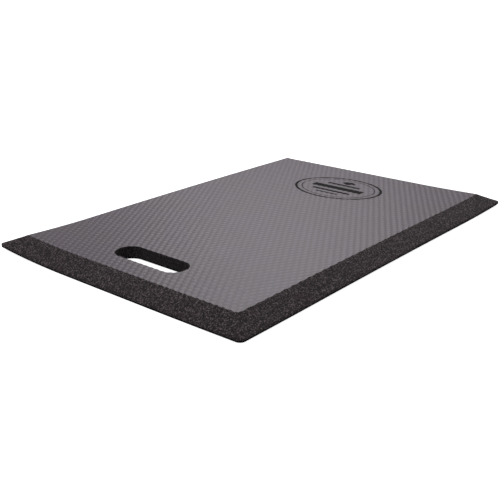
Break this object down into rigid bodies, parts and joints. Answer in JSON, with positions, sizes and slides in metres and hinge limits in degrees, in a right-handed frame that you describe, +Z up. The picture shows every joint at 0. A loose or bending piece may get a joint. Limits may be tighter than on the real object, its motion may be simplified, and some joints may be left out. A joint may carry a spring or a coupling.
{
  "type": "kneeling pad",
  "caption": "Flat foam kneeling pad with knife-bevelled edges, an embossed top sheet, a non-slip base sheet and a hand slot near one end.",
  "frame": {"origin": "centre of the underside, on the ground", "axes": "+X along the length, away from the hand slot; +Y across the width; +Z up to the kneeling face"},
  "size_m": [0.533, 0.368, 0.015],
  "materials": {
    "base_rubber": "matt black non-slip rubber sheet with a fine grain",
    "core_foam": "matt charcoal closed-cell foam, knife cut, with fine open pores and pale speckle",
    "top_skin": "satin warm-grey foam skin embossed with fine staggered oblong studs, with a dark stamped badge"
  },
  "bodies": {
    "root": {"base_sheet": "base_rubber", "foam_core": "core_foam", "top_sheet": "top_skin"}
  },
  "joints": []
}
